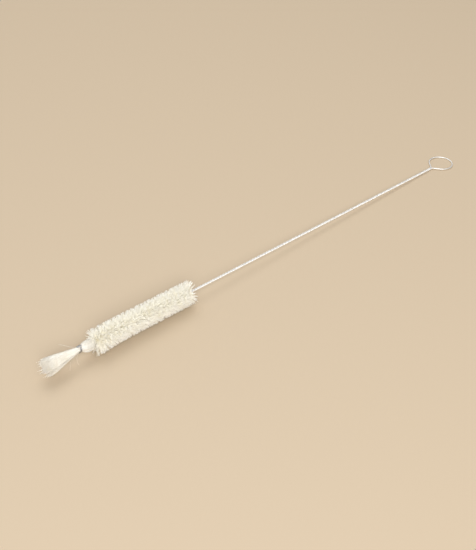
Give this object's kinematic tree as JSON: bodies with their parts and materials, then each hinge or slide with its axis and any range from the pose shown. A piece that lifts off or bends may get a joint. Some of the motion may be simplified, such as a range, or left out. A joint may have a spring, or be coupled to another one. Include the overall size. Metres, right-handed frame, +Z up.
{
  "type": "bottle brush",
  "caption": "Long bottle brush: a twisted wire stem with a round hanging loop at one end, and at the other a cylindrical bristle head with a wire-bound tuft beyond it.",
  "frame": {"origin": "bottom centre of the brush's box, on the surface that it lies on", "axes": "+X along the brush from the tuft to the hanging ring, +Z up, +Y across the flat of the ring"},
  "size_m": [0.5618, 0.0282, 0.0285],
  "materials": {
    "galvanised_wire": "satin",
    "head_bristle": "matte",
    "tuft_bristle": "matte",
    "binding_wire": "satin"
  },
  "bodies": {
    "root": {"twisted_wire": "galvanised_wire", "bristle_head": "head_bristle", "end_tuft": "tuft_bristle", "tuft_binding": "binding_wire"}
  },
  "joints": []
}
